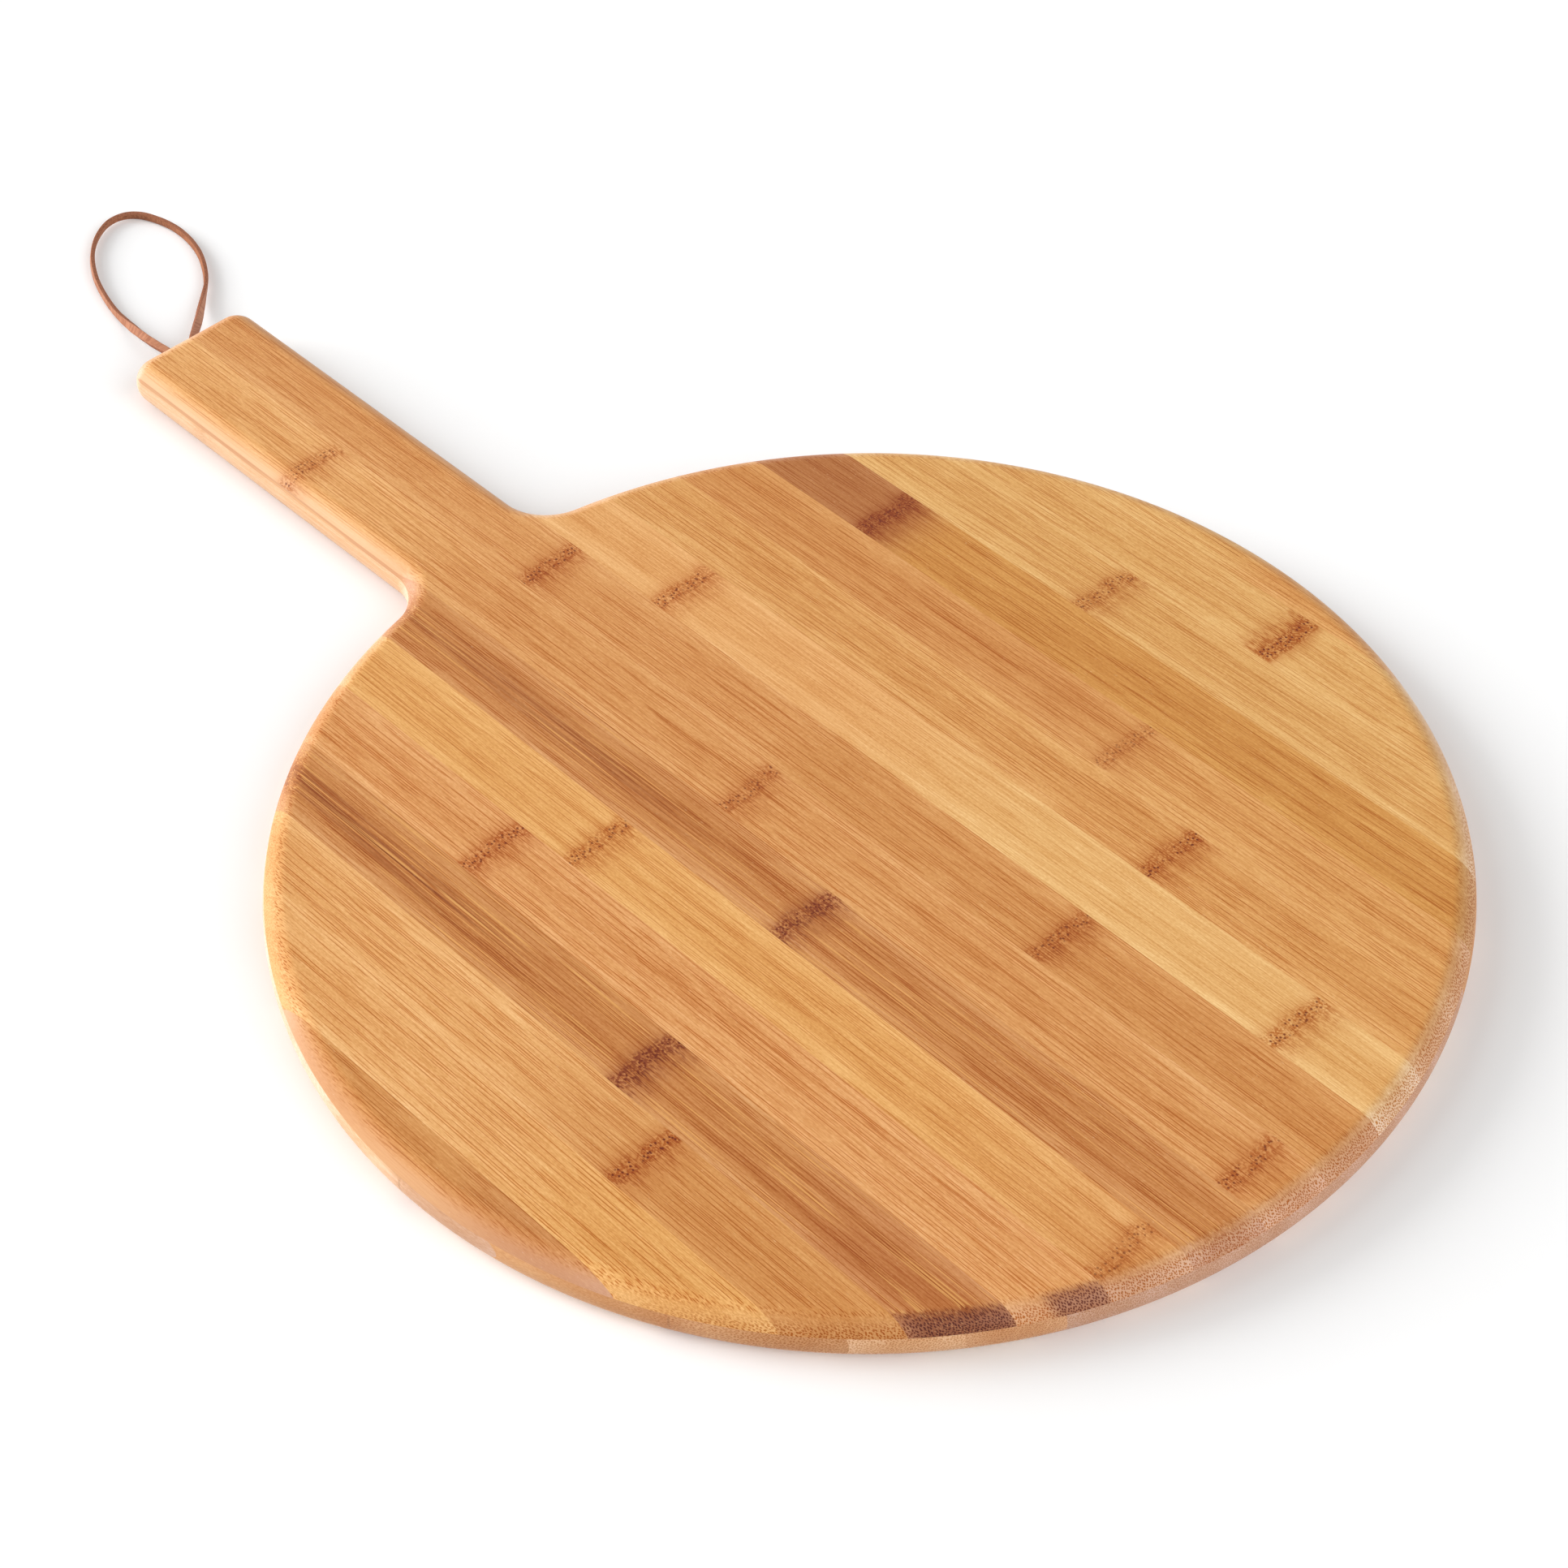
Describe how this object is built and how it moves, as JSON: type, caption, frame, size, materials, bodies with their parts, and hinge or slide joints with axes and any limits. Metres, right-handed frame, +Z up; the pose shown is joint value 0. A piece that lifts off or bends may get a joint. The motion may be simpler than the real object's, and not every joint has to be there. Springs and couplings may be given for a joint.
{
  "type": "serving board",
  "caption": "Round bamboo serving board of glued strips in staggered plies, with a half-round edge, a straight flat handle and a leather hanging loop.",
  "frame": {"origin": "centre of the round part, on the flat underside", "axes": "+Y along the handle to its end, +Z up out of the serving face, +X across to the right with the handle pointing away"},
  "size_m": [0.3498, 0.5876, 0.015],
  "materials": {
    "bamboo_pale": "satin oiled",
    "bamboo_honey": "satin oiled",
    "bamboo_caramel": "satin oiled",
    "bamboo_brown": "satin oiled",
    "leather_brown": "smooth grain side, raw cut edges"
  },
  "bodies": {
    "board": {"top_strip_01": "bamboo_caramel", "top_strip_02": "bamboo_honey", "top_strip_03": "bamboo_honey", "top_strip_04": "bamboo_brown", "top_strip_05": "bamboo_caramel", "top_strip_06": "bamboo_honey", "top_strip_07": "bamboo_brown", "top_strip_08": "bamboo_caramel", "top_strip_09": "bamboo_caramel", "top_strip_10": "bamboo_pale", "top_strip_11": "bamboo_caramel", "top_strip_12": "bamboo_caramel", "top_strip_13": "bamboo_brown", "top_strip_14": "bamboo_honey", "top_strip_15": "bamboo_honey", "top_strip_16": "bamboo_pale", "core_strip_01": "bamboo_caramel", "core_strip_02": "bamboo_honey", "core_strip_03": "bamboo_caramel", "core_strip_04": "bamboo_honey", "core_strip_05": "bamboo_caramel", "core_strip_06": "bamboo_pale", "core_strip_07": "bamboo_pale", "core_strip_08": "bamboo_caramel", "core_strip_09": "bamboo_caramel", "core_strip_10": "bamboo_honey", "core_strip_11": "bamboo_caramel", "core_strip_12": "bamboo_honey", "core_strip_13": "bamboo_caramel", "core_strip_14": "bamboo_pale", "core_strip_15": "bamboo_pale", "core_strip_16": "bamboo_caramel", "core_strip_17": "bamboo_caramel", "bottom_strip_01": "bamboo_honey", "bottom_strip_02": "bamboo_caramel", "bottom_strip_03": "bamboo_honey", "bottom_strip_04": "bamboo_pale", "bottom_strip_05": "bamboo_caramel", "bottom_strip_06": "bamboo_honey", "bottom_strip_07": "bamboo_brown", "bottom_strip_08": "bamboo_honey", "bottom_strip_09": "bamboo_caramel", "bottom_strip_10": "bamboo_honey", "bottom_strip_11": "bamboo_pale", "bottom_strip_12": "bamboo_caramel", "bottom_strip_13": "bamboo_honey", "bottom_strip_14": "bamboo_brown", "bottom_strip_15": "bamboo_honey", "bottom_strip_16": "bamboo_caramel", "leather_end_left": "leather_brown", "leather_end_right": "leather_brown"},
    "loop": {"leather_loop": "leather_brown"}
  },
  "joints": [
    {"name": "loop_swing", "type": "hinge", "parent": "board", "child": "loop", "pos_m": [0, 0.32955, 0.0075], "axis": [1, 0, 0], "range_deg": [0, 100]}
  ]
}
